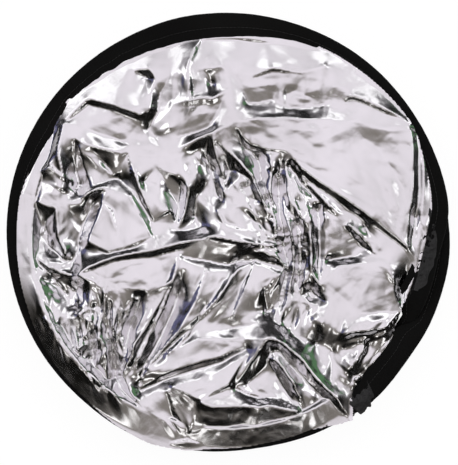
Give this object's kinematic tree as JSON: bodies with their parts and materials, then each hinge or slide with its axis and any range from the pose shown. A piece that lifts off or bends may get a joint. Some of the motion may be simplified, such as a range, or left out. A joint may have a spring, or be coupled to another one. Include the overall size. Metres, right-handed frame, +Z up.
{
  "type": "collapsible reflector disc",
  "caption": "Pop-up photographic reflector disc, folded for storage: a spring hoop coiled into stacked turns, with crumpled silver cloth on top and a zipped black edge.",
  "frame": {"origin": "on the surface that the folded disc lies on, under the axis of its coiled hoop", "axes": "+Z up along the axis of the coil, out of the silver side; -Y towards the side where silver cloth hangs over the rim; +X to the right when seen from above"},
  "size_m": [0.3774, 0.3786, 0.05],
  "materials": {
    "spring_steel": "tempered, satin",
    "plated_steel": "zinc plated",
    "nylon_casing": "woven nylon, matt",
    "edge_tape": "woven polyester tape, matt",
    "zip_cloth": "woven zip tape, matt",
    "zip_nylon": "nylon coil teeth, satin",
    "zip_metal": "pressed, satin",
    "slider_metal": "black enamel, semi-gloss",
    "black_fabric": "tightly woven nylon, matt",
    "gold_fabric": "metallised, mirror-like with fine creases",
    "diffuser_fabric": "thin translucent nylon, matt",
    "white_fabric": "coated nylon, matt",
    "silver_fabric": "metallised, mirror-like with fine creases"
  },
  "bodies": {
    "folded_disc": {"steel_hoop_band": "spring_steel", "hoop_joint_sleeve": "plated_steel", "hoop_joint_rivets": "plated_steel", "hoop_casing": "nylon_casing", "cover_edge_tape": "edge_tape", "zip_tape_upper": "zip_cloth", "zip_tape_lower": "zip_cloth", "zip_chain_upper": "zip_nylon", "zip_chain_lower": "zip_nylon", "zip_top_stop_upper": "zip_metal", "zip_top_stop_lower": "zip_metal", "zip_bottom_stop": "zip_metal", "zip_end_tab_closed": "edge_tape", "zip_end_tab_open": "edge_tape", "black_cloth": "black_fabric", "gold_cloth": "gold_fabric", "diffuser_cloth": "diffuser_fabric", "white_cloth": "white_fabric", "silver_cloth": "silver_fabric"},
    "zip_slider": {"zip_slider_body": "slider_metal", "zip_slider_bridge": "slider_metal"},
    "zip_pull": {"zip_pull_tab": "slider_metal"}
  },
  "joints": [
    {"name": "zip_travel", "type": "hinge", "parent": "folded_disc", "child": "zip_slider", "pos_m": [0, 0, 0.0067], "axis": [0, 0, 1], "range_deg": [-160.5, 8.6]},
    {"name": "pull_flip", "type": "hinge", "parent": "zip_slider", "child": "zip_pull", "pos_m": [0.10716, -0.15887, 0.0067], "axis": [0, 0, 1], "range_deg": [-180, 0]}
  ]
}
